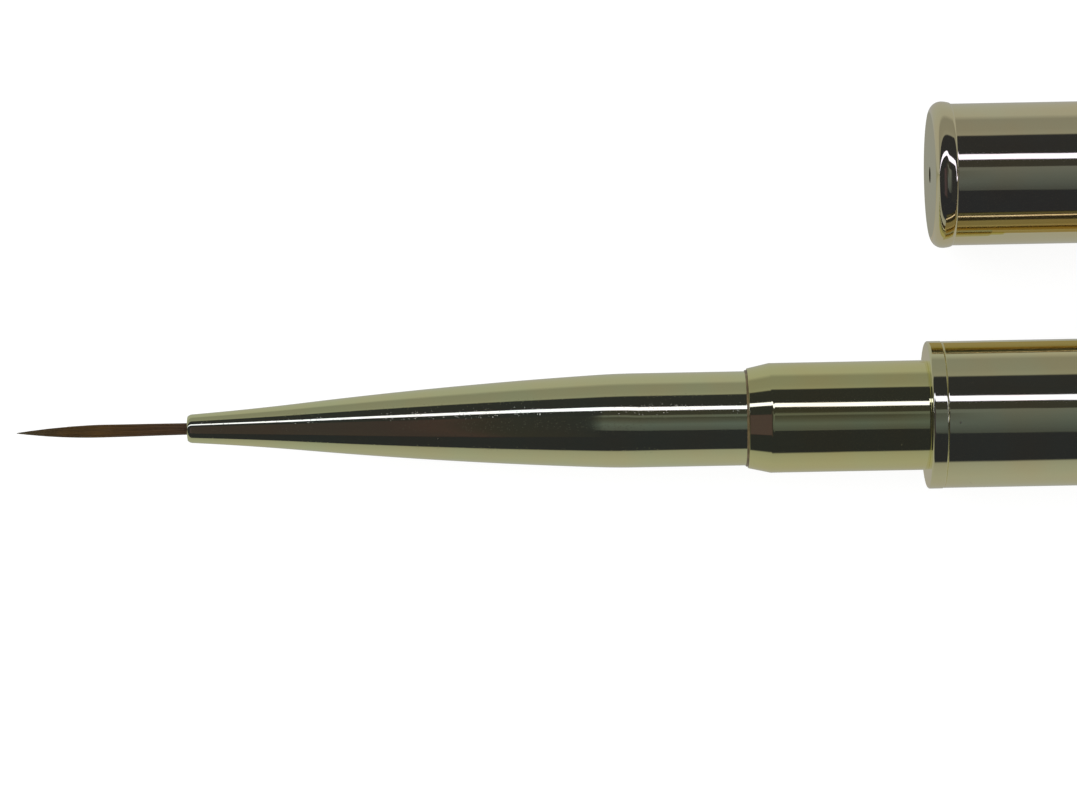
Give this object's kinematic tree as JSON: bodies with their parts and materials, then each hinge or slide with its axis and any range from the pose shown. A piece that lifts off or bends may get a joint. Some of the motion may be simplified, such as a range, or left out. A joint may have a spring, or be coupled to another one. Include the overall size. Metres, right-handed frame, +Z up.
{
  "type": "pocket liner brush",
  "caption": "Pocket detail brush of plated brass: fine hair liner in a long conical ferrule, stepped sleeve, collar and round handle, with its tube cap taken off beside it",
  "frame": {"origin": "middle of the bounding box, on the surface that brush and cap lie on", "axes": "+X runs from the hair point to the rear of the handle, +Y from the brush to the cap lying beside it, +Z up from the surface"},
  "size_m": [0.1392, 0.025, 0.0095],
  "materials": {
    "plated_brass": "polished",
    "sable_hair": "fine hair",
    "binding_thread": "waxed thread",
    "root_glue": "set resin",
    "joint_glue": "dark set glue",
    "grip_plastic": "matte",
    "dowel_wood": "plain beech"
  },
  "bodies": {
    "brush": {"hair_tuft": "sable_hair", "tuft_binding": "binding_thread", "tuft_glue": "root_glue", "ferrule": "plated_brass", "core_dowel": "dowel_wood", "joint_glue": "joint_glue", "spigot_sleeve": "plated_brass", "collar_ring": "plated_brass", "front_bush": "grip_plastic", "barrel_tube": "plated_brass", "rear_plug": "plated_brass"},
    "cap": {"cap_end_plug": "plated_brass", "cap_tube": "plated_brass", "cap_liner": "grip_plastic"}
  },
  "joints": [
    {"name": "cap_pull_off", "type": "slide", "parent": "brush", "child": "cap", "axis": [-1, 0, 0], "range_m": [0, 0.0594]}
  ]
}
